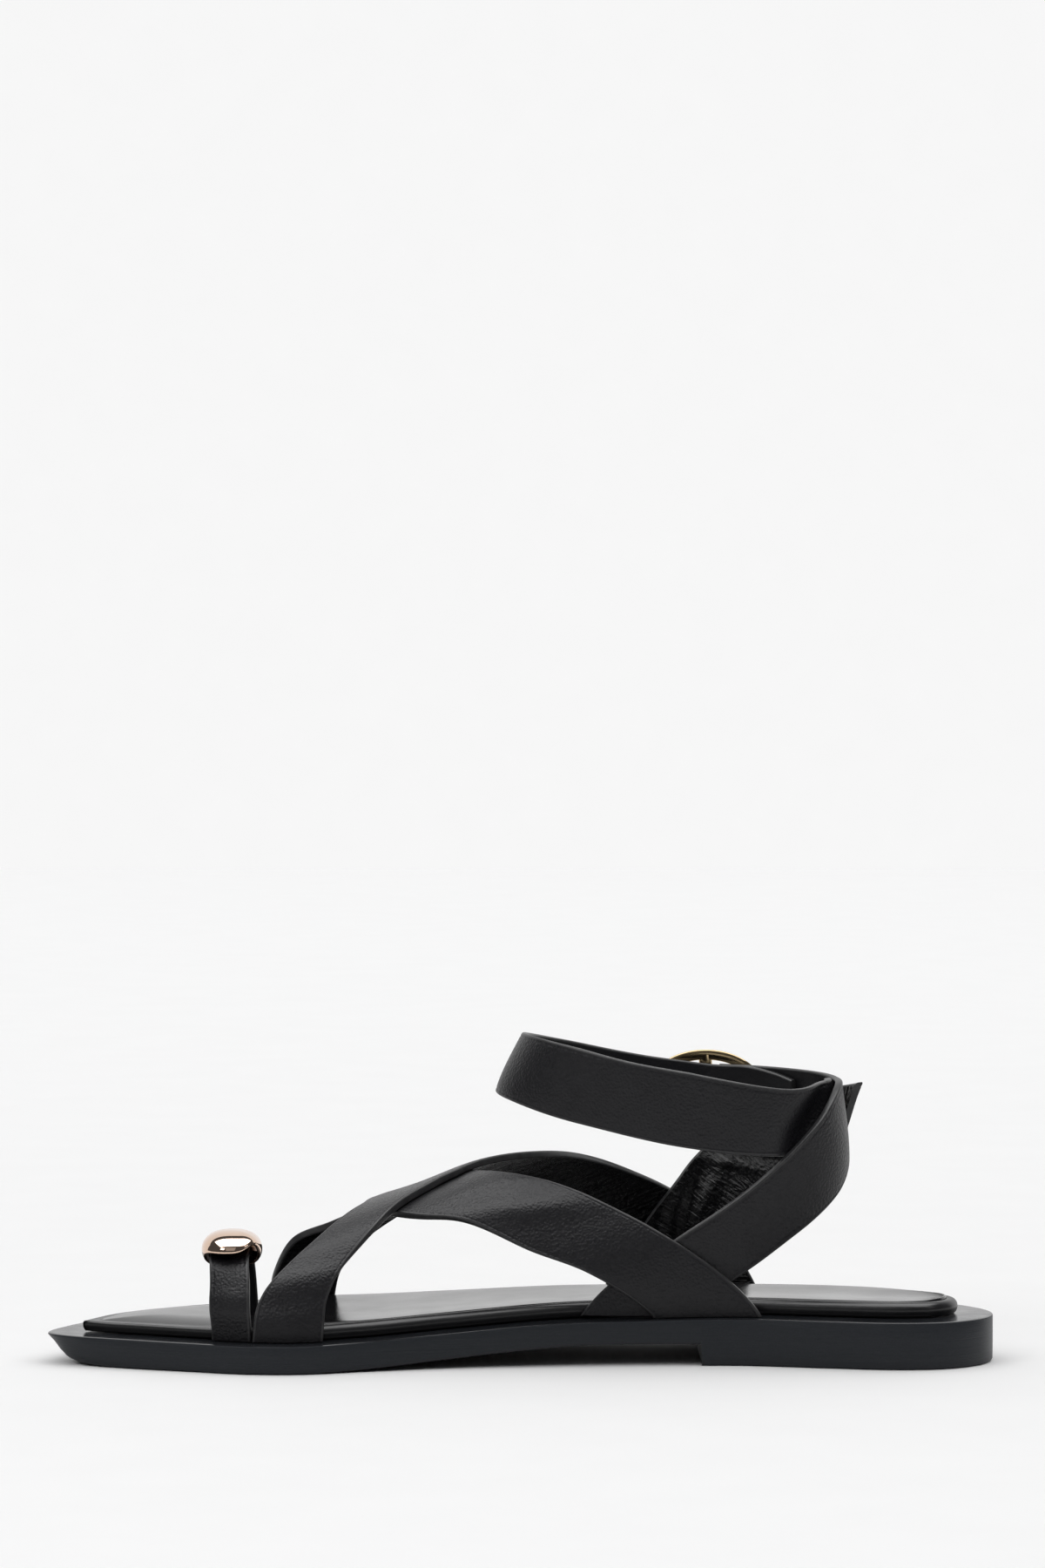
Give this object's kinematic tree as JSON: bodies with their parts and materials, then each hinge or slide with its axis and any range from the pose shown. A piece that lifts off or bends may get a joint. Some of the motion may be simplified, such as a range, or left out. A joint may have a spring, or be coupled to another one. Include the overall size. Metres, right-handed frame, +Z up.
{
  "type": "toe loop sandal",
  "caption": "Flat black leather sandal for the right foot with a toe loop, crossed instep straps, a wrapped ankle strap with an oval buckle and a low heeled sole.",
  "frame": {"origin": "middle of the bounding box in plan, on the floor under the sole", "axes": "+X from toe to heel, +Y from the inner side of the foot to the outer side, +Z up"},
  "size_m": [0.2688, 0.0972, 0.0923],
  "materials": {
    "sole_rubber": "sanded satin",
    "footbed_leather": "satin",
    "sock_leather": "glossy",
    "strap_leather": "satin grain",
    "ornament_metal": "polished",
    "buckle_metal": "polished"
  },
  "bodies": {
    "root": {"outsole": "sole_rubber", "footbed": "footbed_leather", "sock": "sock_leather", "upper": "strap_leather", "toe_loop": "strap_leather", "toe_ornament": "ornament_metal", "buckle_frame": "buckle_metal", "buckle_prong": "buckle_metal"}
  },
  "joints": []
}
